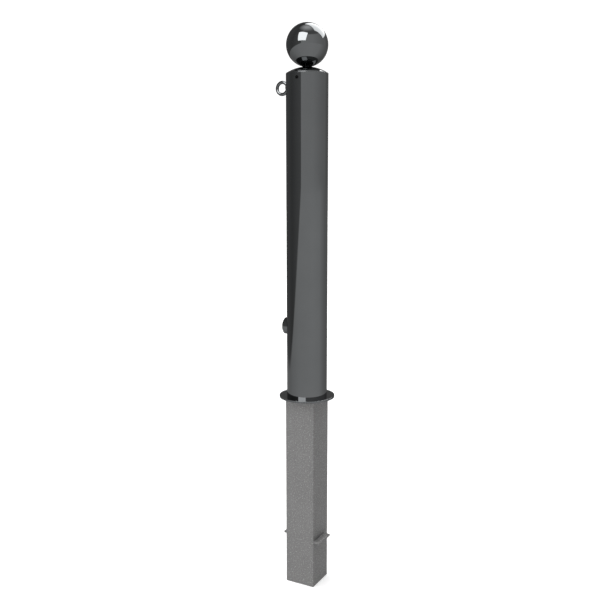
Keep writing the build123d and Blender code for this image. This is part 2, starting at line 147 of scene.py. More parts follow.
@dataclass
class NodeBench:
    """Adds and feeds the nodes of one tree."""

    tree: bpy.types.NodeTree

    def feed(self, socket: Socket, value: object) -> None:
        """Links an output to an input, or sets the input to a constant."""
        if isinstance(value, Socket):
            self.tree.links.new(value, socket)
        else:
            socket.default_value = value

    def add(self, kind: str, feeds: dict[str | int, object] | None = None, **settings: object) -> Node:
        """Adds a node and feeds its inputs.

        Args:
            kind: type of the node.
            feeds: input's name or index, with the output socket or the value that feeds it.
            settings: attributes of the node.

        Returns:
            The new node.
        """
        node = self.tree.nodes.new(kind)
        for name, value in settings.items():
            setattr(node, name, value)
        for key, value in (feeds or {}).items():
            self.feed(node.inputs[key], value)
        return node

    def math(self, operation: str, a: Feed, b: Feed = 0.0) -> Socket:
        """Adds a math node and returns its result."""
        return self.add("ShaderNodeMath", {0: a, 1: b}, operation=operation).outputs[0]

    def fade(self, value: Feed, old: Pair, new: Pair = (0.0, 1.0)) -> Socket:
        """Maps a range of values to another, without going past its ends.

        Args:
            value: value to map.
            old: start and end of the value's range.
            new: results at the start and at the end.

        Returns:
            The result's socket.
        """
        ends = dict(zip(("From Min", "From Max", "To Min", "To Max"), (*old, *new)))
        return self.add("ShaderNodeMapRange", {"Value": value, **ends}).outputs["Result"]


# ---- Materials ----


@dataclass(frozen=True)
class Grain:
    """Noise on object coordinates: waves per metre, octaves, weight of the fine ones, stretch by axis."""

    scale: float
    detail: float = 3.0
    roughness: float = 0.5
    stretch: Triple | None = None


@dataclass(frozen=True)
class Relief:
    """Bump from a grain: height of a full step in metres, and the share of it that shows."""

    grain: Grain
    height: float
    strength: float


class ShaderBench(NodeBench):
    """Lays the nodes of one material."""

    def __init__(self, material: bpy.types.Material) -> None:
        """Starts an empty node tree with a principled shader.

        Args:
            material: material whose tree is rebuilt.
        """
        material.use_nodes = True
        super().__init__(material.node_tree)
        self.tree.nodes.clear()
        self.shader = self.add("ShaderNodeBsdfPrincipled")
        self.add("ShaderNodeOutputMaterial", {"Surface": self.shader.outputs["BSDF"]})
        self.coordinates = self.add("ShaderNodeTexCoord")

    def set(self, **values: object) -> None:
        """Feeds the principled shader's inputs; underscores stand for spaces."""
        for name, value in values.items():
            self.feed(self.shader.inputs[name.replace("_", " ")], value)

    def noise(self, grain: Grain) -> Socket:
        """Noise of a grain, between 0 and 1."""
        place = self.coordinates.outputs["Object"]
        if grain.stretch is not None:
            place = self.add("ShaderNodeMapping", {"Vector": place, "Scale": grain.stretch}).outputs["Vector"]
        feeds = {"Vector": place, "Scale": grain.scale, "Detail": grain.detail, "Roughness": grain.roughness}
        return self.add("ShaderNodeTexNoise", feeds).outputs["Fac"]

    def ramp(self, source: Socket, stops: tuple[Stop, Stop]) -> Socket:
        """Colour that changes from one stop to the other.

        Args:
            source: value that drives the ramp.
            stops: place and colour of each stop.

        Returns:
            The colour's socket.
        """
        node = self.add("ShaderNodeValToRGB", {"Fac": source})
        for element, (place, colour) in zip(node.color_ramp.elements, stops):
            element.position = place
            element.color = (*colour, 1.0)
        return node.outputs["Color"]

    def carve(self, reliefs: tuple[Relief, ...]) -> None:
        """Lays bumps over one another and joins the last one to the shader."""
        under: dict[str | int, object] = {}
        for relief in reliefs:
            under |= {"Distance": relief.height, "Strength": relief.strength}
            under["Height"] = self.noise(relief.grain)
            under = {"Normal": self.add("ShaderNodeBump", under).outputs["Normal"]}
        self.set(**under)


@dataclass(frozen=True)
class Finish:
    """A surface finish, which makes its material once.

    The stain drives the colour. The wear drives the roughness, from the one range to the other.
    """

    name: str
    slot: Slot
    stain: Grain
    tint: tuple[Stop, Stop]
    wear: Grain
    wear_range: Pair
    roughness: Pair
    reliefs: tuple[Relief, ...]
    metallic: float = 0.0
    ior: float = 1.5

    def material(self) -> bpy.types.Material:
        """The finish's material."""
        found = bpy.data.materials.get(self.name)
        if found is None:
            found = bpy.data.materials.new(self.name)
            self.lay(ShaderBench(found))
        return found

    def lay(self, bench: ShaderBench) -> None:
        """Builds the material's nodes."""
        bench.set(Metallic=self.metallic, IOR=self.ior, Base_Color=self.colour(bench))
        bench.set(Roughness=bench.fade(bench.noise(self.wear), self.wear_range, self.roughness))
        bench.carve(self.reliefs)

    def colour(self, bench: ShaderBench) -> Socket:
        """Colour that follows the stain."""
        return bench.ramp(bench.noise(self.stain), self.tint)


@dataclass(frozen=True)
class SpeckledFinish(Finish):
    """Finish with small bright specks over its tint."""

    specks: Grain = Grain(300.0, 3.0, 0.65)
    speck_range: Pair = (0.50, 0.72)
    speck_cover: Pair = (0.0, 0.85)
    speck_tint: tuple[Stop, Stop] = ((0.40, (0.135, 0.134, 0.133)), (0.72, (0.400, 0.398, 0.395)))

    def colour(self, bench: ShaderBench) -> Socket:
        """Colour that follows the stain, with the specks over it."""
        base, specks = super().colour(bench), bench.noise(self.specks)
        cover = bench.fade(specks, self.speck_range, self.speck_cover)
        feeds = {0: cover, 6: base, 7: bench.ramp(specks, self.speck_tint)}
        return bench.add("ShaderNodeMix", feeds, data_type="RGBA").outputs[2]


# High-gloss anthracite coating with a faint orange peel.
COAT = Finish(
    "gloss_coat", Slot.PAINT, metallic=1.0,
    stain=Grain(14.0, 4.0), tint=((0.35, (0.115, 0.1195, 0.122)), (0.70, (0.122, 0.1265, 0.129))),
    wear=Grain(46.0, 5.0, 0.62, (1.0, 1.0, 0.25)), wear_range=(0.35, 0.75), roughness=(0.03, 0.07),
    reliefs=(Relief(Grain(60.0, 1.0), 0.00004, 0.10), Relief(Grain(420.0, 1.5), 0.00002, 0.08)),
)
# Matt hot-dip zinc, mottled and with dull patches.
ZINC = SpeckledFinish(
    "hot_dip_zinc", Slot.ZINC, metallic=0.12,
    stain=Grain(30.0, 6.0, 0.6), tint=((0.34, (0.125, 0.124, 0.123)), (0.62, (0.135, 0.134, 0.133))),
    wear=Grain(30.0, 6.0, 0.6), wear_range=(0.3, 0.7), roughness=(0.62, 0.56),
    reliefs=(Relief(Grain(34.0, 4.0, 0.55, (1.0, 1.0, 0.3)), 0.0008, 0.20),
             Relief(Grain(300.0, 3.0, 0.65), 0.0002, 0.35)),
)
# Black oxide on a screw.
BLACK_OXIDE = Finish(
    "black_oxide", Slot.BLACK_SCREW, ior=1.2,
    stain=Grain(900.0), tint=((0.35, (0.003, 0.003, 0.003)), (0.70, (0.008, 0.008, 0.008))),
    wear=Grain(900.0), wear_range=(0.3, 0.7), roughness=(0.42, 0.58),
    reliefs=(Relief(Grain(900.0), 0.00004, 0.4),),
)
# Bright turned steel with fine tool marks along its length.
TURNED_STEEL = Finish(
    "turned_steel", Slot.SPINDLE_STEEL, metallic=1.0,
    stain=Grain(180.0, 5.0), tint=((0.35, (0.30, 0.29, 0.28)), (0.65, (0.50, 0.50, 0.50))),
    wear=Grain(2600.0, 2.0, 0.5, (1.0, 0.06, 0.06)), wear_range=(0.3, 0.7), roughness=(0.22, 0.38),
    reliefs=(Relief(Grain(2600.0, 2.0, 0.5, (1.0, 0.06, 0.06)), 0.00003, 0.4),),
)
# Plain steel of the hidden mechanism, with an oil film and a few brown stains.
OILED_STEEL = Finish(
    "oiled_steel", Slot.INNER_STEEL, metallic=1.0,
    stain=Grain(90.0, 6.0, 0.62), tint=((0.38, (0.34, 0.34, 0.35)), (0.72, (0.21, 0.17, 0.13))),
    wear=Grain(500.0), wear_range=(0.3, 0.7), roughness=(0.25, 0.45),
    reliefs=(Relief(Grain(500.0), 0.00005, 0.3),),
)
# Black moulded plastic with a fine grain and scuffs.
POLYETHYLENE = Finish(
    "polyethylene", Slot.BLACK_PLASTIC,
    stain=Grain(120.0, 6.0, 0.7, (1.0, 1.0, 0.1)),
    tint=((0.45, (0.012, 0.012, 0.013)), (0.78, (0.055, 0.055, 0.056))),
    wear=Grain(120.0, 6.0, 0.7, (1.0, 1.0, 0.1)), wear_range=(0.3, 0.7), roughness=(0.48, 0.66),
    reliefs=(Relief(Grain(1600.0, 2.0), 0.00006, 0.5),),
)


# ---- Geometry Nodes ----


class TreeBench(NodeBench):
    """Builds one Geometry Nodes tree."""

    def __init__(self, name: str, **sizes: float) -> None:
        """Starts a tree with a geometry input and output, and an input for each size.

        Args:
            name: name of the tree.
            sizes: default of each size; underscores stand for spaces.
        """
        super().__init__(bpy.data.node_groups.new(name, "GeometryNodeTree"))
        sockets = self.tree.interface
        for way in ("INPUT", "OUTPUT"):
            sockets.new_socket(name="Geometry", in_out=way, socket_type="NodeSocketGeometry")
        for size, value in sizes.items():
            kind = "NodeSocketInt" if isinstance(value, int) else "NodeSocketFloat"
            socket = sockets.new_socket(name=size.replace("_", " "), in_out="INPUT", socket_type=kind)
            socket.default_value = value
        self.start = self.add("NodeGroupInput")
        self.end = self.add("NodeGroupOutput")

    def given(self, name: str) -> Socket:
        """The tree's input of that name."""
        return self.start.outputs[name]

    def close(self, geometry: Socket) -> NodeGroup:
        """Ends the tree with real geometry.

        Args:
            geometry: output that holds the shape.

        Returns:
            The finished tree.
        """
        real = self.add("GeometryNodeRealizeInstances", {"Geometry": geometry})
        self.feed(self.end.inputs["Geometry"], real.outputs["Geometry"])
        return self.tree


class Trees:
    """The three Geometry Nodes trees, each made when it is first used."""

    @staticmethod
    @cache
    def spun_section() -> NodeGroup:
        """Tree that spins a section, drawn as a line of points in X and Z, about Z."""
        bench = TreeBench("Spun section", Segments=96, Join_Distance=WELD_DISTANCE)
        add, calc, given = bench.add, bench.math, bench.given
        line = given("Geometry")
        rows = add("GeometryNodeAttributeDomainSize", {"Geometry": line}).outputs["Point Count"]
        columns = calc("ADD", given("Segments"), 1.0)
        grid = add("GeometryNodeMeshGrid", {"Vertices X": rows, "Vertices Y": columns})
        index = add("GeometryNodeInputIndex").outputs[0]
        row = calc("FLOOR", calc("DIVIDE", calc("ADD", index, 0.5), columns))
        column = calc("SUBTRACT", index, calc("MULTIPLY", row, columns))
        position = add("GeometryNodeInputPosition").outputs[0]
        point = add("GeometryNodeSampleIndex", {"Geometry": line, "Value": position, "Index": row},
                    data_type="FLOAT_VECTOR", domain="POINT")
        parts = add("ShaderNodeSeparateXYZ", {0: point.outputs[0]})
        angle = calc("MULTIPLY", calc("DIVIDE", column, given("Segments")), math.tau)
        x = calc("MULTIPLY", parts.outputs["X"], calc("COSINE", angle))
        y = calc("MULTIPLY", parts.outputs["X"], calc("SINE", angle))
        place = add("ShaderNodeCombineXYZ", {"X": x, "Y": y, "Z": parts.outputs["Z"]})
        shaped = add("GeometryNodeSetPosition", {"Geometry": grid.outputs[0], "Position": place.outputs[0]})
        joined = add("GeometryNodeMergeByDistance",
                     {"Geometry": shaped.outputs["Geometry"], "Distance": given("Join Distance")})
        return bench.close(joined.outputs["Geometry"])

    @staticmethod
    @cache
    def weld_bead() -> NodeGroup:
        """Tree that lays a rippled bead along a line of points."""
        depth = 0.09
        steps_per_ripple = 4.0
        wander_scale = 160.0
        bench = TreeBench("Weld bead", Bead_Radius=2.4 * MM, Ripple_Pitch=1.5 * MM, Ripple_Depth=depth,
                          Unevenness=0.10, Seed=3.0)
        add, calc, given = bench.add, bench.math, bench.given
        curve = add("GeometryNodeMeshToCurve", {"Mesh": given("Geometry")})
        step = calc("DIVIDE", given("Ripple Pitch"), steps_per_ripple)
        fine = add("GeometryNodeResampleCurve", {"Curve": curve.outputs[0], "Length": step}, mode="LENGTH")
        along = add("GeometryNodeSplineParameter").outputs["Length"]
        phase = calc("MULTIPLY", calc("DIVIDE", along, given("Ripple Pitch")), math.tau)
        wave = calc("ABSOLUTE", calc("SINE", calc("MULTIPLY", phase, 0.5)))
        ripple = calc("MULTIPLY", wave, given("Ripple Depth"))
        draw = calc("ADD", calc("MULTIPLY", along, wander_scale), given("Seed"))
        noise = add("ShaderNodeTexNoise", {"W": draw, "Scale": 1.0}, noise_dimensions="1D")
        wander = calc("MULTIPLY", calc("SUBTRACT", noise.outputs[0], 0.5), given("Unevenness"))
        radius = calc("ADD", calc("ADD", ripple, wander), 1.0 - depth)
        sized = add("GeometryNodeSetCurveRadius", {"Curve": fine.outputs[0], "Radius": radius})
        ring = add("GeometryNodeCurvePrimitiveCircle", {"Resolution": 12, "Radius": given("Bead Radius")})
        bead = add("GeometryNodeCurveToMesh",
                   {"Curve": sized.outputs[0], "Profile Curve": ring.outputs[0], "Fill Caps": True})
        if "Scale" in bead.inputs:
            bench.feed(bead.inputs["Scale"], radius)
        return bench.close(bead.outputs[0])

    @staticmethod
    @cache
    def pads_round() -> NodeGroup:
        """Tree that sets copies of a pad on the four faces of a square bar, in two rows."""
        faces, rows = 4, 2
        bench = TreeBench("Pads round a bar", Face_Distance=35 * MM, Upper_Row=-0.03, Lower_Row=-0.27)
        add, calc, given = bench.add, bench.math, bench.given
        points = add("GeometryNodePoints", {"Count": rows * faces})
        index = add("GeometryNodeInputIndex").outputs[0]
        row = calc("FLOOR", calc("DIVIDE", calc("ADD", index, 0.5), float(faces)))
        turn = calc("MULTIPLY", index, QUARTER)
        drop = calc("SUBTRACT", given("Lower Row"), given("Upper Row"))
        height = calc("ADD", given("Upper Row"), calc("MULTIPLY", row, drop))
        x = calc("MULTIPLY", given("Face Distance"), calc("COSINE", turn))
        y = calc("MULTIPLY", given("Face Distance"), calc("SINE", turn))
        place = add("ShaderNodeCombineXYZ", {"X": x, "Y": y, "Z": height})
        set_out = add("GeometryNodeSetPosition",
                      {"Geometry": points.outputs[0], "Position": place.outputs[0]})
        rotation = add("ShaderNodeCombineXYZ", {"Z": turn})
        copies = add("GeometryNodeInstanceOnPoints",
                     {"Points": set_out.outputs["Geometry"], "Instance": given("Geometry"),
                      "Rotation": rotation.outputs[0]})
        return bench.close(copies.outputs[0])


# ---- Shapes ----


@dataclass(frozen=True)
class Corner:
    """Corner of a section, with the radius that rounds it."""

    across: float
    along: float
    radius: float = 0.0


def rounded(corners: list[Corner], steps: int = 6) -> list[Pair]:
    """Closed outline with rounded corners, and a point beside each rounding that keeps the flats flat.

    Args:
        corners: corners in order.
        steps: facets of each rounding.

    Returns:
        The outline's points, with the first one repeated at the end.
    """
    points: list[Pair] = []
    for i, corner in enumerate(corners):
        here = Vector((corner.across, corner.along))
        if corner.radius <= 0.0:
            points.append(tuple(here))
            continue
        before, after = corners[i - 1], corners[(i + 1) % len(corners)]
        back = Vector((before.across, before.along)) - here
        on = Vector((after.across, after.along)) - here
        d1, d2 = back.normalized(), on.normalized()
        half = math.acos(max(-1.0, min(1.0, d1.dot(d2)))) / 2
        reach = corner.radius / math.tan(half)
        centre = here + (d1 + d2).normalized() * (corner.radius / math.sin(half))
        first, last = here + d1 * reach - centre, here + d2 * reach - centre
        if back.length > 2 * (reach + SUPPORT):
            points.append(tuple(here + d1 * (reach + SUPPORT)))
        sweep = math.atan2(first.x * last.y - first.y * last.x, first.dot(last))
        for k in range(steps + 1):
            turn = Matrix.Rotation(sweep * k / steps, 2)
            points.append(tuple(centre + turn @ first))
        if on.length > 2 * (reach + SUPPORT):
            points.append(tuple(here + d2 * (reach + SUPPORT)))
    return points + [points[0]]


def arc(centre: Pair, radius: float, start: float, end: float, steps: int) -> list[Pair]:
    """Points on an arc; the angles are measured from the outward direction, towards the axis's top."""
    angles = [start + (end - start) * k / steps for k in range(steps + 1)]
    return [(centre[0] + radius * math.cos(angle), centre[1] + radius * math.sin(angle)) for angle in angles]


class Shop:
    """Makes meshes and puts finished pieces in the scene, each on its body."""

    @staticmethod
    def line(points: list[Vector]) -> bpy.types.Object:
        """Object whose mesh is a line of points."""
        mesh = bpy.data.meshes.new("line")
        mesh.from_pydata([tuple(p) for p in points], [(i, i + 1) for i in range(len(points) - 1)], [])
        return placed("line", mesh)

    @staticmethod
    def flatten(blank: bpy.types.Object) -> Mesh:
        """Plain mesh of an object with its modifiers; the object is removed.

        Args:
            blank: object to evaluate.

        Returns:
            The evaluated mesh.
        """
        view = bpy.context.evaluated_depsgraph_get()
        mesh = bpy.data.meshes.new_from_object(blank.evaluated_get(view))
        old = blank.data
        bpy.data.objects.remove(blank)
        bpy.data.meshes.remove(old)
        return mesh

    @classmethod
    def run_tree(cls, tree: NodeGroup, blank: bpy.types.Object,
                 inputs: dict[str, float]) -> Mesh:
        """Runs a tree on an object.

        Args:
            tree: the Geometry Nodes tree.
            blank: object that the tree starts from; it is removed.
            inputs: values of the tree's named inputs.

        Returns:
            The result as a plain mesh.
        """
        modifier = blank.modifiers.new("tree", "NODES")
        modifier.node_group = tree
        for item in tree.interface.items_tree:
            if item.item_type == "SOCKET" and item.in_out == "INPUT" and item.name in inputs:
                modifier[item.identifier] = inputs[item.name]
        return cls.flatten(blank)

    @classmethod
    def spun(cls, section: list[Pair], axis: Axis = Axis.Z, place: Vector = Vector(),
             segments: int = 96) -> Mesh:
        """Turned shape.

        Args:
            section: points of radius and height, closed or from axis to axis.
            axis: axis that it is spun about.
            place: point on the axis where the height is zero.
            segments: facets round the axis.

        Returns:
            The mesh, in place.
        """
        blank = cls.line([Vector((r, 0.0, z)) for r, z in section])
        mesh = cls.run_tree(Trees.spun_section(), blank, {"Segments": segments})
        mesh.transform(axis.matrix(place))
        return cls.tidied(mesh)

    @staticmethod
    def shaded(mesh: Mesh, work: bmesh.types.BMesh) -> Mesh:
        """Mesh with the working copy's faces, shaded smoothly up to its sharp edges."""
        work.to_mesh(mesh)
        work.free()
        mesh.shade_smooth()
        mesh.set_sharp_from_angle(angle=SMOOTH_ANGLE)
        return mesh

    @classmethod
    def tidied(cls, mesh: Mesh) -> Mesh:
        """Mesh with loose bits removed, small holes filled and faces outwards."""
        work = bmesh.new()
        work.from_mesh(mesh)
        bmesh.ops.remove_doubles(work, verts=work.verts, dist=WELD_DISTANCE)
        bmesh.ops.dissolve_degenerate(work, edges=work.edges, dist=WELD_DISTANCE)
        bmesh.ops.delete(work, geom=[e for e in work.edges if not e.link_faces], context="EDGES")
        bmesh.ops.delete(work, geom=[v for v in work.verts if not v.link_edges], context="VERTS")
        bmesh.ops.holes_fill(work, edges=[e for e in work.edges if e.is_boundary], sides=4)
        bmesh.ops.recalc_face_normals(work, faces=work.faces)
        return cls.shaded(mesh, work)

    @classmethod
    def square_section(cls, side: float, corner: float, section: list[Pair]) -> Mesh:
        """Shape with a rounded square outline that follows a section of depth and height.

        Args:
            side: outer side of the square.
            corner: outer corner radius.
            section: points of depth inwards and height; a closed section repeats its first point at the end,
                and an open one gets a lid at each end.

        Returns:
            The closed mesh.
        """
        closed = section[0] == section[-1]
        rows = section[:-1] if closed else section
        vertices = [p for depth, z in rows for p in cls.square_ring(side, corner, depth, z)]
        count = len(vertices) // len(rows)
        faces = []
        for i in range(len(rows) if closed else len(rows) - 1):
            j = (i + 1) % len(rows)
            for k in range(count):
                m = (k + 1) % count
                faces.append((i * count + k, i * count + m, j * count + m, j * count + k))
        if not closed:
            faces += [tuple(range(count)), tuple(range(len(vertices) - count, len(vertices)))]
        mesh = bpy.data.meshes.new("square section")
        mesh.from_pydata(vertices, [], faces)
        return cls.tidied(mesh)

    @staticmethod
    def square_ring(side: float, corner: float, depth: float, z: float) -> list[Triple]:
        """Points of one rounded square, with two extra ones on each flat beside the corners.

        Args:
            side: outer side of the square.
            corner: outer corner radius.
            depth: distance of this ring inside the outer square.
            z: height of the ring.

        Returns:
            The ring's points.
        """
        radius = max(corner - depth, 1.0 * MM)
        inset = side / 2 - depth - radius
        local = [Vector((x, y, z)) for x, y in arc((inset, inset), radius, 0.0, QUARTER, SQUARE_STEPS)]
        local += [Vector((inset - SUPPORT, inset + radius, z)), Vector((SUPPORT - inset, inset + radius, z))]
        points = []
        for quarter in range(4):
            turn = Matrix.Rotation(math.radians(90.0 * quarter), 3, "Z")
            points += [tuple(turn @ p) for p in local]
        return points

    @classmethod
    def plate(cls, low: Vector, high: Vector, edge: float, steps: int = 2) -> Mesh:
        """Flat plate or block with rounded edges, between two corners.

        Args:
            low: lowest corner.
            high: highest corner.
            edge: radius of its edges.
            steps: facets of each edge.

        Returns:
            The closed mesh.
        """
        work = bmesh.new()
        bmesh.ops.create_cube(work, size=1.0)
        half = Vector((0.5, 0.5, 0.5))
        for v in work.verts:
            v.co = low + (v.co + half) * (high - low)
        return cls.bevelled("plate", work, edge, steps)

    @classmethod
    def bevelled(cls, name: str, work: bmesh.types.BMesh, edge: float, steps: int) -> Mesh:
        """Mesh of a working copy after rounding all its edges.

        Args:
            name: name of the mesh.
            work: working copy, which is freed.
            edge: radius of the edges.
            steps: facets of each edge.

        Returns:
            The mesh.
        """
        bmesh.ops.bevel(work, geom=list(work.edges), offset=edge, segments=steps, profile=0.5, affect="EDGES")
        mesh = bpy.data.meshes.new(name)
        work.to_mesh(mesh)
        work.free()
        return cls.tidied(mesh)

    @classmethod
    def cut(cls, mesh: Mesh, cutters: list[Mesh]) -> Mesh:
        """Mesh after cutting other meshes from it."""
        blank = placed("blank", mesh)
        tools = [placed("tool", cutter) for cutter in cutters]
        for tool in tools:
            modifier = blank.modifiers.new("cut", "BOOLEAN")
            modifier.operation = "DIFFERENCE"
            modifier.solver = "EXACT"
            modifier.object = tool
        bpy.context.view_layer.update()
        result = cls.flatten(blank)
        for tool in tools:
            bpy.data.objects.remove(tool)
        return cls.tidied(result)

    @classmethod
    def drill(cls, radius: float, axis: Axis, start: Vector, length: float) -> Mesh:
        """Round cutter from a point along an axis."""
        section = [(0.0, 0.0), (radius, 0.0), (radius, length), (0.0, length)]
        return cls.spun(section, axis, start, 64)

    @classmethod
    def side_drill(cls, radius: float, axis: Axis, z: float, out: float, stop: float = 0.0) -> Mesh:
        """Round cutter that comes in from the negative side of X or Y.

        Args:
            radius: radius of the hole.
            axis: X or Y.
            z: height of the hole.
            out: distance from the middle where the cutter starts.
            stop: distance from the middle where it ends.

        Returns:
            The cutter.
        """
        start = Vector((-out, 0.0, z)) if axis is Axis.X else Vector((0.0, -out, z))
        return cls.drill(radius, axis, start, out - stop)

    @classmethod
    def joined(cls, meshes: list[Mesh]) -> Mesh:
        """One mesh from several."""
        work = bmesh.new()
        for mesh in meshes:
            work.from_mesh(mesh)
        return cls.shaded(meshes[0], work)

    @staticmethod
    def deliver(name: str, mesh: Mesh, finish: Finish, body: Body, *nodes: str) -> bpy.types.Object:
        """Makes the finished piece, parents it to its body and hides the CAD nodes that it stands for.

        Args:
            name: name of the piece.
            mesh: its mesh, in place.
            finish: finish whose material it gets.
            body: body that it rides on.
            nodes: CAD nodes that it stands for.

        Returns:
            The piece.
        """
        mesh.name = name
        mesh.materials.clear()
        mesh.materials.append(finish.material())
        mesh.polygons.foreach_set("material_index", [0] * len(mesh.polygons))
        piece = placed(name, mesh)
        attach(piece, body.value)
        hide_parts(*nodes)
        log.info("%s: %d faces on %s", name, len(mesh.polygons), body.value)
        return piece

    @staticmethod
    def dress(finish: Finish, *nodes: str) -> None:
        """Gives CAD nodes their material."""
        for node in nodes:
            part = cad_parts[node]
            if not part.material_slots:
                part.data.materials.append(finish.material())
            for slot in part.material_slots:
                slot.material = finish.material()
            log.info("%s: CAD piece in %s", node, finish.name)


# ---- Sub-assemblies ----


@dataclass
class PostShell:
    """Round tube on its cover plate."""

    tube_wall: float = 3.6 * MM
    tube_edge: float = 0.35 * MM
    plate_edge: float = 0.5 * MM
    plate_bore: float = 15.3 * MM
    bore_edge: float = 0.3 * MM
    bush_room: float = 0.1 * MM
    eye_hole: float = 4.4 * MM
    eye_seat: float = 10.4 * MM
    eye_seat_reach: float = 49.70 * MM
    grub_hole: float = 4.2 * MM
    ring_gap: float = 1.5 * MM
    end_gap: float = 2.0 * MM

    def build(self) -> None:
        """Makes the tube and the plate."""
        self.tube()
        self.plate()

    def tube(self) -> None:
        """Makes the tube, with rings beside its holes so that it stays evenly round."""
        span = Span.of("post_tube")
        bush, eye, grub = Span.of("lock_bush"), Span.of("chain_eye_bolt"), Span.of("head_grub_screw")
        outer = span.high.x
        inner = outer - self.tube_wall
        bush_hole = bush.size.z / 2 + self.bush_room
        levels = []
        for hole, reach in ((bush, bush_hole), (eye, self.eye_seat), (grub, self.grub_hole)):
            z = hole.middle.z
            levels += [z - reach - self.ring_gap, z - reach, z, z + reach, z + reach + self.ring_gap]
        levels = sorted(z for z in levels if span.low.z + self.end_gap < z < span.high.z - self.end_gap)
        corners = [Corner(outer, z) for z in (span.low.z, *levels)]
        corners += [Corner(outer, span.high.z, self.tube_edge), Corner(inner, span.high.z, self.tube_edge)]
        corners += [Corner(inner, z) for z in (*reversed(levels), span.low.z)]
        out = 2 * outer
        cutters = [
            Shop.side_drill(bush_hole, Axis.X, bush.middle.z, out),
            Shop.side_drill(self.eye_hole, Axis.X, eye.middle.z, out),
            Shop.side_drill(self.eye_seat, Axis.X, eye.middle.z, out, self.eye_seat_reach),
            Shop.side_drill(self.grub_hole, Axis.Y, grub.middle.z, out),
        ]
        shell = Shop.cut(Shop.spun(rounded(corners), segments=FINE), cutters)
        Shop.deliver("post_tube_shell", shell, COAT, Body.POST, "post_tube")

    def plate(self) -> None:
        """Makes the cover plate, with its edges rounded."""
        span = Span.of("cover_plate")
        corners = [
            Corner(self.plate_bore, span.low.z), Corner(span.high.x, span.low.z, self.plate_edge),
            Corner(span.high.x, span.high.z, self.plate_edge),
            Corner(self.plate_bore, span.high.z, self.bore_edge),
        ]
        disc = Shop.spun(rounded(corners), segments=FINE)
        Shop.deliver("cover_plate_disc", disc, COAT, Body.POST, "cover_plate")


@dataclass
class BallHead:
    """Domed cap, its neck and the ball, with the fastenings inside."""

    lip: float = 2.0 * MM
    lip_edge: float = 0.25 * MM
    lip_overlap: float = 0.004
    rise: float = 15.0 * MM
    sheet: float = 4.0 * MM
    skirt_gap: float = 3.75 * MM
    skirt_wall: float = 5.0 * MM
    skirt_edge: float = 0.5 * MM
    neck: float = 13.0 * MM
    groove: float = 2.4 * MM
    ball_wall: float = 3.0 * MM
    thread: float = 4.0 * MM
    boss: float = 9.0 * MM
    boss_root: float = 1.0 * MM
    boss_end: float = -36.05 * MM
    boss_edge: float = 0.5 * MM
    dome_steps: int = 40
    inside_steps: int = 24
    ball_steps: int = 96

    def build(self) -> None:
        """Makes the cap and the ball, and dresses the fastenings."""
        self.cap()
        self.ball()
        Shop.dress(BLACK_OXIDE, "head_grub_screw")
        Shop.dress(OILED_STEEL, "ball_boss", "ball_stud", "cap_washer", "cap_nut")

    def cap(self) -> None:
        """Makes the cap: neck, dome, lip and skirt, with two threaded bosses."""
        span, tube = Span.of("head_cap"), Span.of("post_tube")
        radius, lip_z, seat, foot = tube.high.x, tube.high.z, span.high.z, span.low.z
        rim_z = lip_z + self.lip
        dome = (radius**2 + self.rise**2) / (2 * self.rise)
        centre = rim_z + self.rise - dome
        skirt = radius - self.skirt_gap
        inner = skirt - self.skirt_wall
        neck_turn = math.acos(self.neck / dome)
        rim_turn = math.asin((rim_z - centre) / dome)
        neck_foot = centre + dome * math.sin(neck_turn)
        points = [(0.0, seat), (self.neck, seat), (self.neck - self.groove, (seat + neck_foot) / 2)]
        points += arc((0.0, centre), dome, neck_turn, rim_turn + self.lip_overlap, self.dome_steps)
        fall = self.lip * math.tan(QUARTER - rim_turn)
        edge = rounded([Corner(radius - self.lip, rim_z + fall), Corner(radius, rim_z, self.lip_edge),
                        Corner(radius, lip_z, self.lip_edge), Corner(skirt, lip_z)], 4)
        points += edge[2:-2]
        points += [(skirt, lip_z), (skirt, foot + self.skirt_edge)]
        points += [(skirt - self.skirt_edge, foot), (inner, foot)]
        under = dome - self.sheet
        points += arc((0.0, centre), under, math.acos(inner / under), QUARTER, self.inside_steps)
        holes = ((Axis.X, Span.of("chain_eye_bolt").middle.z), (Axis.Y, Span.of("head_grub_screw").middle.z))
        drills = [Shop.side_drill(self.thread, axis, z, 2 * radius) for axis, z in holes]
        shell = Shop.cut(Shop.spun(points, segments=FINE), drills)
        root = -inner - self.boss_root
        boss = rounded([Corner(self.thread, root), Corner(self.boss, root),
                        Corner(self.boss, self.boss_end, self.boss_edge), Corner(self.thread, self.boss_end)])
        bosses = [Shop.spun(boss, axis, Vector((0.0, 0.0, z)), 48) for axis, z in holes]
        Shop.deliver("head_cap_dome", Shop.joined([shell, *bosses]), COAT, Body.POST, "head_cap")

    def ball(self) -> None:
        """Makes the hollow ball."""
        span = Span.of("ball_finial")
        radius = span.size.x / 2
        centre = span.high.z - radius
        inner = radius - self.ball_wall
        points = arc((0.0, centre), radius, -math.acos(self.neck / radius), QUARTER, self.ball_steps)
        points += arc((0.0, centre), inner, QUARTER, -math.acos(self.neck / inner), self.ball_steps // 2)
        points.append(points[0])
        Shop.deliver("ball_shell", Shop.spun(points, segments=FINE), COAT, Body.POST, "ball_finial")


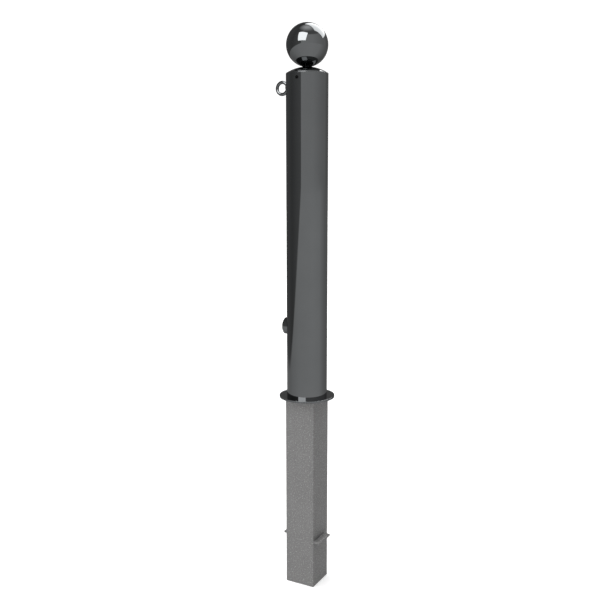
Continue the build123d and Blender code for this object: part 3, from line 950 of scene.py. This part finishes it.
@dataclass
class ChainEye:
    """Forged eye bolt for a chain, screwed through the tube into the cap."""

    bar: float = 4.0 * MM
    collar: float = 10.0 * MM
    collar_height: float = 5.5 * MM
    collar_edge: float = 1.8 * MM
    shank: float = 4.0 * MM
    shank_root: float = 1.0 * MM
    seat_reach: float = 49.70 * MM
    grain: float = 0.38 * MM
    smoothing: int = 8

    def build(self) -> None:
        """Makes ring, collar and shank as one forged piece."""
        span = Span.of("chain_eye_bolt")
        z = span.middle.z
        ring = span.size.z / 2 - self.bar
        centre_x = span.low.x + ring + self.bar
        torus = Shop.spun(arc((ring, 0.0), self.bar, 0.0, math.tau, 48), Axis.Y, Vector((centre_x, 0.0, z)))
        seat = -self.seat_reach
        face = seat - self.collar_height
        collar = rounded([Corner(0.0, face), Corner(self.collar, face, self.collar_edge),
                          Corner(self.collar, seat), Corner(0.0, seat)])[:-1]
        disc = Shop.spun(collar, Axis.X, Vector((0.0, 0.0, z)), 64)
        hole = Shop.drill(ring - self.bar, Axis.Y, Vector((centre_x, -self.collar * 2, z)), self.collar * 4)
        start = seat - self.shank_root
        shank = Shop.drill(self.shank, Axis.X, Vector((start, 0.0, z)), span.high.x - start)
        eye = self.forged(Shop.joined([torus, Shop.cut(disc, [hole]), shank]))
        Shop.deliver("chain_eye", eye, COAT, Body.POST, "chain_eye_bolt")

    def forged(self, mesh: Mesh) -> Mesh:
        """Melts the shapes into one, with soft hollows where they meet.

        Args:
            mesh: overlapping closed shapes.

        Returns:
            One closed mesh.
        """
        blank = placed("blank", mesh)
        remesh = blank.modifiers.new("melt", "REMESH")
        remesh.mode = "VOXEL"
        remesh.voxel_size = self.grain
        soften = blank.modifiers.new("soften", "SMOOTH")
        soften.iterations = self.smoothing
        soften.factor = 0.5
        bpy.context.view_layer.update()
        result = Shop.flatten(blank)
        result.shade_smooth()
        return result


@dataclass
class KeyLock:
    """Lock bush with its triangular key head, and the crank inside."""

    bush_edge: float = 1.2 * MM
    recess: float = 14.0 * MM
    recess_depth: float = 14.0 * MM
    recess_edge: float = 0.7 * MM
    recess_foot: float = 0.3 * MM
    bore: float = 8.05 * MM
    head_altitude: float = 14.0 * MM
    head_length: float = 8.0 * MM
    head_edge: float = 0.9 * MM
    head_sunk: float = 0.2 * MM
    flange: float = 11.0 * MM
    flange_thick: float = 2.5 * MM
    flange_edge: float = 0.4 * MM
    shaft: float = 8.0 * MM
    end: float = 5.0 * MM
    crank_thick: float = 6.0 * MM
    end_play: float = 0.1 * MM

    def build(self) -> None:
        """Makes the bush and the spindle, and dresses the crank."""
        self.bush()
        self.spindle()
        Shop.dress(OILED_STEEL, "crank_arm", "crank_pin", "crank_screw")

    def bush(self) -> None:
        """Makes the bush, with its key recess and bearing bore."""
        span = Span.of("lock_bush")
        radius = span.size.z / 2
        face, back = span.low.x, span.high.x
        floor = face + self.recess_depth
        corners = [
            Corner(radius, face, self.bush_edge), Corner(radius, back), Corner(self.bore, back),
            Corner(self.bore, floor), Corner(self.recess, floor, self.recess_foot),
            Corner(self.recess, face, self.recess_edge),
        ]
        turned = Shop.spun(rounded(corners), Axis.X, Vector((0.0, 0.0, span.middle.z)))
        Shop.deliver("lock_bush_turned", turned, COAT, Body.POST, "lock_bush")

    def spindle(self) -> None:
        """Makes the spindle: triangular head, flange, shaft and crank end."""
        bush, far = Span.of("lock_bush"), Span.of("lock_spindle").high.x
        z = bush.middle.z
        front = bush.low.x + self.recess_depth - self.end_play - self.flange_thick
        behind = front + self.flange_thick
        neck = far - self.crank_thick
        turned = [
            (0.0, front), (self.flange - self.flange_edge, front), (self.flange, front + self.flange_edge),
            (self.flange, behind), (self.shaft, behind), (self.shaft, neck),
            (self.end, neck), (self.end, far), (0.0, far),
        ]
        shaft = Shop.spun(turned, Axis.X, Vector((0.0, 0.0, z)), 64)
        mesh = Shop.joined([shaft, self.key_head(front, z)])
        Shop.deliver("key_spindle", mesh, TURNED_STEEL, Body.SPINDLE, "lock_spindle")

    def key_head(self, front: float, z: float) -> Mesh:
        """Triangular head with its point upwards.

        Args:
            front: place of the flange's front face along the lock axis.
            z: height of the lock axis.

        Returns:
            The head's mesh.
        """
        work = bmesh.new()
        reach = self.head_altitude * 2 / 3
        angles = [math.radians(90.0 + 120.0 * k) for k in range(3)]
        rings = [[work.verts.new((x, reach * math.cos(a), z + reach * math.sin(a))) for a in angles]
                 for x in (front - self.head_length, front + self.head_sunk)]
        work.faces.new(rings[0])
        work.faces.new(list(reversed(rings[1])))
        for k in range(3):
            m = (k + 1) % 3
            work.faces.new((rings[0][k], rings[0][m], rings[1][m], rings[1][k]))
        bmesh.ops.recalc_face_normals(work, faces=work.faces)
        return Shop.bevelled("key head", work, self.head_edge, 3)


def windowed_tube(node: str, wall: float, corner: float, edges: tuple[float, ...], gap: float) -> Mesh:
    """Square tube of a CAD node, with a window for the latch in its +Y side.

    Args:
        node: the CAD node.
        wall: thickness of the wall.
        corner: outer corner radius.
        edges: rounding of the outer lower, outer upper, inner upper and inner lower edge.
        gap: room round the latch.

    Returns:
        The tube's mesh.
    """
    span, latch = Span.of(node), Span.of("latch_bolt")
    low, high, side = span.low.z, span.high.z, span.size.x
    places = ((0.0, low), (0.0, high), (wall, high), (wall, low))
    corners = [Corner(depth, z, edge) for (depth, z), edge in zip(places, edges)]
    window = Shop.plate(Vector((latch.low.x - gap, 0.0, latch.low.z - gap)),
                        Vector((latch.high.x + gap, side, latch.high.z + gap)), CUT_EDGE, 1)
    return Shop.cut(Shop.square_section(side, corner, rounded(corners, 3)), [window])


@dataclass
class SpigotFoot:
    """Square foot of the post, with its plug and guide pads."""

    wall: float = 3.0 * MM
    corner: float = 4.5 * MM
    edge: float = 0.4 * MM
    window_gap: float = 0.3 * MM
    plug_taper: float = 5.0 * MM
    plug_gap: float = 0.3 * MM
    plug_edge: float = 0.5 * MM
    plug_bore: float = 6.0 * MM
    bore_margin: float = 5.0 * MM
    pad_side: float = 32.0 * MM
    pad_edge: float = 0.6 * MM

    def build(self) -> None:
        """Makes tube, plug and pads."""
        edges = (self.edge, 0.0, 0.0, 0.0)
        tube = windowed_tube("spigot_tube", self.wall, self.corner, edges, self.window_gap)
        Shop.deliver("spigot_square_tube", tube, ZINC, Body.POST, "spigot_tube")
        self.plug()
        self.pads()

    def plug(self) -> None:
        """Makes the tapered end plug with its drain hole; the taper's two ends are eased by small facets."""
        span = Span.of("spigot_end_plug")
        low, shoulder, taper = span.low.z, Span.of("spigot_tube").low.z, self.plug_taper
        inside = self.wall + self.plug_gap
        section = [
            (taper + 1.0 * MM, low), (taper + 0.3 * MM, low + 0.15 * MM), (taper - 0.5 * MM, low + 0.6 * MM),
            (0.4 * MM, low + taper - 0.3 * MM), (0.0, low + taper + 0.6 * MM),
            (0.0, shoulder), (inside, shoulder),
            (inside, span.high.z - self.plug_edge), (inside + self.plug_edge, span.high.z),
        ]
        mesh = Shop.square_section(span.size.x, self.corner, section)
        drain = Shop.drill(self.plug_bore, Axis.Z, Vector((0.0, 0.0, low - self.bore_margin)),
                           span.size.z + 2 * self.bore_margin)
        Shop.deliver("spigot_plug", Shop.cut(mesh, [drain]), POLYETHYLENE, Body.POST, "spigot_end_plug")

    def pads(self) -> None:
        """Makes the guide pads on the spigot's faces."""
        span = Span.of("guide_pads")
        face, half = Span.of("spigot_tube").high.x, self.pad_side / 2
        high = Vector((span.high.x - face, half, half))
        pad = Shop.plate(Vector((0.0, -half, -half)), high, self.pad_edge, 3)
        mesh = Shop.run_tree(Trees.pads_round(), placed("pad", pad), {
            "Face Distance": face, "Upper Row": span.high.z - half, "Lower Row": span.low.z + half,
        })
        Shop.deliver("guide_pad_set", Shop.tidied(mesh), POLYETHYLENE, Body.POST, "guide_pads")


@dataclass
class Latchwork:
    """Yoke, rod, cam plate and latch, and the guides that they run in."""

    steel: Finish = OILED_STEEL

    def build(self) -> None:
        """Dresses the hidden mechanism."""
        Shop.dress(self.steel, "rod_guide_disc", "latch_housing", "rod_yoke", "lock_rod", "cam_plate",
                   "latch_bolt", "latch_pin")


@dataclass
class GroundSleeve:
    """Square sleeve for the foundation, with its pocket, anchors and welds."""

    wall: float = 3.0 * MM
    corner: float = 1.5 * MM
    edge: float = 0.4 * MM
    anchor_length: float = 60.0 * MM
    window_gap: float = 0.8 * MM
    plate_edge: float = 0.7 * MM
    pocket_wall: float = 3.0 * MM
    bead: float = 1.9 * MM
    bead_sunk: float = 0.45
    anchor_bead_start: float = 3.0 * MM
    anchor_bead_end: float = 17.0 * MM
    pocket_bead_end: float = 1.0 * MM

    def build(self) -> None:
        """Makes the sleeve and everything welded to it."""
        tube = windowed_tube("ground_sleeve", self.wall, self.corner, (self.edge,) * 4, self.window_gap)
        Shop.deliver("sleeve_tube", tube, ZINC, Body.SLEEVE, "ground_sleeve")
        self.pocket()
        self.anchors()
        self.welds()

    def pocket(self) -> None:
        """Makes the welded box over the window."""
        span = Span.of("latch_pocket")
        wall = Vector((self.pocket_wall,) * 3)
        room_low, room_high = span.low + wall, span.high - wall
        room_low.y = span.low.y - self.pocket_wall
        room = Shop.plate(room_low, room_high, CUT_EDGE, 1)
        box = Shop.cut(Shop.plate(span.low, span.high, self.plate_edge), [room])
        Shop.deliver("pocket_box", box, ZINC, Body.SLEEVE, "latch_pocket")

    def anchors(self) -> None:
        """Makes the two anchor plates."""
        span, near = Span.of("anchor_plates"), Span.of("ground_sleeve").high.x
        right = Shop.plate(Vector((near, -near, span.low.z)),
                           Vector((span.high.x, self.anchor_length - near, span.high.z)), self.plate_edge)
        left = right.copy()
        left.transform(Matrix.Rotation(math.pi, 4, "Z"))
        Shop.deliver("anchor_plate_pair", Shop.joined([right, left]), ZINC, Body.SLEEVE, "anchor_plates")

    def welds(self) -> None:
        """Lays the rippled beads under the anchor plates and round three sides of the pocket."""
        near, pocket = Span.of("ground_sleeve").high.x, Span.of("latch_pocket")
        inset = self.bead * self.bead_sunk
        under = Span.of("anchor_welds").high.z - inset
        ends = (-near + self.anchor_bead_start, self.anchor_bead_end)
        path = [Vector((near + inset, y, under)) for y in ends]
        right, left = self.bead_along(path, 3.0), self.bead_along(path, 8.0)
        left.transform(Matrix.Rotation(math.pi, 4, "Z"))
        y, stop = pocket.low.y + inset, self.pocket_bead_end
        heights = (pocket.low.z + stop, pocket.high.z - stop)
        runs = [[Vector((x, y, z)) for z in heights] for x in (pocket.low.x - inset, pocket.high.x + inset)]
        top = pocket.high.z + inset
        runs.append([Vector((x, y, top)) for x in (pocket.low.x + stop, pocket.high.x - stop)])
        sides = [self.bead_along(run, seed) for run, seed in zip(runs, (5.0, 6.0, 7.0))]
        Shop.deliver("weld_beads", Shop.joined([right, left, *sides]), ZINC, Body.SLEEVE, "anchor_welds")

    def bead_along(self, path: list[Vector], seed: float) -> Mesh:
        """One weld bead along a path, uneven by its seed."""
        sizes = {"Bead Radius": self.bead, "Seed": seed}
        return Shop.tidied(Shop.run_tree(Trees.weld_bead(), Shop.line(path), sizes))


# ---- Studio ----


@dataclass
class Studio:
    """Pale floor, soft light from all round, and the camera."""

    bearing: float = 28.23
    heading: float = 28.384
    distance: float = 1.8968
    eye_height: float = 0.5240
    pitch: float = 10.470
    lens: float = 45.25
    shift: float = 0.04
    clip: Pair = (0.05, 200.0)
    floor_size: float = 60.0
    floor_glow: float = 0.42
    floor_grain: Grain = Grain(40.0, 2.0)
    floor_tint: tuple[Stop, Stop] = ((0.3, (0.78, 0.78, 0.78)), (0.7, (0.82, 0.82, 0.82)))

    def build(self) -> None:
        """Makes floor, light and camera."""
        self.floor()
        world = bpy.data.worlds.new("studio")
        bpy.context.scene.world = world
        world.use_nodes = True
        StudioSky(world.node_tree).build()
        self.camera()
        bpy.context.scene.view_settings.view_transform = "Standard"

    def floor(self) -> None:
        """Makes the pale floor under the sleeve."""
        low = Span.of("ground_sleeve").low.z
        half = self.floor_size / 2
        mesh = bpy.data.meshes.new("floor")
        mesh.from_pydata([(-half, -half, low), (half, -half, low), (half, half, low), (-half, half, low)], [],
                         [(0, 1, 2, 3)])
        material = bpy.data.materials.new("pale_floor")
        bench = ShaderBench(material)
        bench.set(Roughness=0.9, Emission_Color=(1.0, 1.0, 1.0, 1.0), Emission_Strength=self.floor_glow)
        bench.set(Base_Color=bench.ramp(bench.noise(self.floor_grain), self.floor_tint))
        mesh.materials.append(material)
        floor = placed("floor", mesh)
        floor.visible_glossy = False

    def camera(self) -> None:
        """Makes the camera and makes it the scene's."""
        data = bpy.data.cameras.new("camera")
        data.lens = self.lens
        data.shift_y = self.shift
        data.clip_start, data.clip_end = self.clip
        camera = placed("camera", data)
        turn = math.radians(self.bearing)
        camera.location = (self.distance * math.sin(turn), -self.distance * math.cos(turn), self.eye_height)
        camera.rotation_euler = (math.radians(90.0 - self.pitch), 0.0, math.radians(self.heading))
        bpy.context.scene.camera = camera


@dataclass(frozen=True)
class Panel:
    """Flat softbox that faces the object: where its middle is, in degrees, and half sizes over distance."""

    bearing: float
    height: float
    level: float
    half_width: float
    half_height: float
    up_shift: float = 0.0

    @property
    def towards(self) -> Vector:
        """Unit vector to the panel's middle."""
        b, h = math.radians(self.bearing), math.radians(self.height)
        return Vector((math.sin(b) * math.cos(h), -math.cos(b) * math.cos(h), math.sin(h)))


@dataclass
class StudioSky(NodeBench):
    """Light by direction: bearing is measured from the -Y side towards +X, and both angles are in degrees.

    Mirror reflections see walls and ground whose levels follow the bearing, a ceiling, a glow overhead and
    two softboxes. Diffuse light comes from a plain gradient, and the camera sees a white backdrop.
    """

    walls: tuple[Pair, ...] = (
        (-180.0, 0.20), (-120.0, 0.12), (-90.0, 0.23), (-62.0, 0.21), (-6.0, 0.36), (-4.0, 1.0), (60.0, 0.98),
        (140.0, 0.62), (160.0, 0.30), (180.0, 0.20),
    )
    ground: tuple[Pair, ...] = (
        (-180.0, 0.22), (-120.0, 0.35), (-62.0, 0.84), (-20.0, 1.0), (60.0, 1.07), (102.0, 1.0),
        (165.0, 0.32), (180.0, 0.22),
    )
    foot_bearing: float = 95.0
    foot_slope: float = 0.235
    foot_blur: float = 0.5
    ceiling_rise: Pair = (42.0, 46.0)
    ceiling_start: Pair = (-4.0, 2.0)
    ceiling_level: float = 0.38
    glow_rise: Pair = (62.0, 84.0)
    glow_level: float = 1.9
    panels: tuple[Panel, ...] = (
        Panel(-1.0, 35.0, 7.3, 0.40, 0.40), Panel(160.0, 40.0, 5.0, 0.56, 0.45, 0.21),
    )
    panel_blur: float = 0.015
    plain_heights: Pair = (-20.0, 70.0)
    plain_levels: Pair = (0.9, 1.35)
    plain_slopes: Pair = (-0.85, -0.28)
    backdrop_level: float = 1.15

    def build(self) -> None:
        """Builds the world's nodes."""
        self.tree.nodes.clear()
        direction = self.add("ShaderNodeTexCoord").outputs["Generated"]
        x, y, z = self.add("ShaderNodeSeparateXYZ", {0: direction}).outputs
        bearing = self.math("DEGREES", self.math("ARCTAN2", x, self.math("MULTIPLY", y, -1.0)))
        height = self.math("DEGREES", self.math("ARCSINE", z))
        mirrored = self.surroundings(bearing, height)
        for panel in self.panels:
            box = self.math("MULTIPLY", self.mask(panel, (x, y, z)), panel.level)
            mirrored = self.math("MAXIMUM", mirrored, box)
        slopes = [self.math("MULTIPLY", part, slope) for part, slope in zip((x, y), self.plain_slopes)]
        sideways = self.math("ADD", self.math("ADD", *slopes), 1.0)
        plain = self.math("MULTIPLY", self.fade(height, self.plain_heights, self.plain_levels), sideways)
        path = self.add("ShaderNodeLightPath").outputs
        level = self.choose(path["Is Glossy Ray"], plain, mirrored)
        level = self.choose(path["Is Camera Ray"], level, self.backdrop_level)
        background = self.add("ShaderNodeBackground", {"Color": level})
        self.add("ShaderNodeOutputWorld", {"Surface": background.outputs[0]})

    def surroundings(self, bearing: Socket, height: Socket) -> Socket:
        """Ground and walls, with the ceiling and the overhead glow above them.

        Args:
            bearing: bearing of the direction.
            height: height of the direction.

        Returns:
            The level's socket.
        """
        walls = self.choose(self.above_foot(bearing, height), self.level(bearing, self.ground),
                            self.level(bearing, self.walls))
        ceiling = self.math("MULTIPLY", self.fade(height, self.ceiling_rise),
                            self.fade(bearing, self.ceiling_start))
        walls = self.choose(ceiling, walls, self.ceiling_level)
        return self.choose(self.fade(height, self.glow_rise), walls, self.glow_level)

    def above_foot(self, bearing: Socket, height: Socket) -> Socket:
        """Mask of everything above the floor line, which dips on the dark left side."""
        turned = self.math("COSINE", self.math("RADIANS", self.math("ADD", bearing, self.foot_bearing)))
        dip = self.math("MULTIPLY", self.math("MAXIMUM", turned, 0.0), -self.foot_slope)
        foot = self.math("DEGREES", self.math("ARCTANGENT", dip))
        return self.fade(self.math("SUBTRACT", height, foot), (-self.foot_blur, self.foot_blur))

    def level(self, bearing: Socket, stops: tuple[Pair, ...]) -> Socket:
        """Brightness that follows the bearing through given pairs of bearing and level."""
        ramp = self.add("ShaderNodeValToRGB", {0: self.fade(bearing, (-180.0, 180.0))})
        marks = ramp.color_ramp.elements
        while len(marks) < len(stops):
            marks.new(0.5)
        for mark, (turn, level) in zip(marks, stops):
            mark.position = (turn + 180.0) / 360.0
            mark.color = (level, level, level, 1.0)
        return ramp.outputs[0]

    def mask(self, panel: Panel, parts: tuple[Socket, ...]) -> Socket:
        """Mask of a softbox.

        Args:
            panel: the softbox.
            parts: the direction's three components.

        Returns:
            The mask's socket.
        """
        towards, blur = panel.towards, self.panel_blur
        side = Vector((0.0, 0.0, 1.0)).cross(towards).normalized()
        depth = self.math("MAXIMUM", self.dot(towards, parts), MM)
        across = self.math("DIVIDE", self.dot(side, parts), depth)
        along = self.math("DIVIDE", self.dot(towards.cross(side), parts), depth)
        inside = self.fade(depth, (MM, 50 * MM))
        shifted = self.math("SUBTRACT", along, panel.up_shift)
        for offset, half in ((across, panel.half_width), (shifted, panel.half_height)):
            edge = self.fade(self.math("ABSOLUTE", offset), (half + blur, half - blur))
            inside = self.math("MULTIPLY", inside, edge)
        return inside

    def dot(self, v: Vector, parts: tuple[Socket, ...]) -> Socket:
        """Dot product of a fixed vector and the direction."""
        x, y, z = (self.math("MULTIPLY", part, share) for part, share in zip(parts, v))
        return self.math("ADD", self.math("ADD", x, y), z)

    def choose(self, switch: Socket, a: Feed, b: Feed) -> Socket:
        """First value where the switch is 0, and the second where it is 1."""
        return self.add("ShaderNodeMix", {0: switch, 2: a, 3: b}, data_type="FLOAT").outputs[0]


def main() -> None:
    """Builds every sub-assembly and the studio."""
    logging.basicConfig(level=logging.INFO, format="%(message)s")
    kinds = (PostShell, BallHead, ChainEye, KeyLock, SpigotFoot, Latchwork, GroundSleeve, Studio)
    for part in (kind() for kind in kinds):
        part.build()
        log.info("%s done", type(part).__name__)


if __name__ == "__main__":
    main()
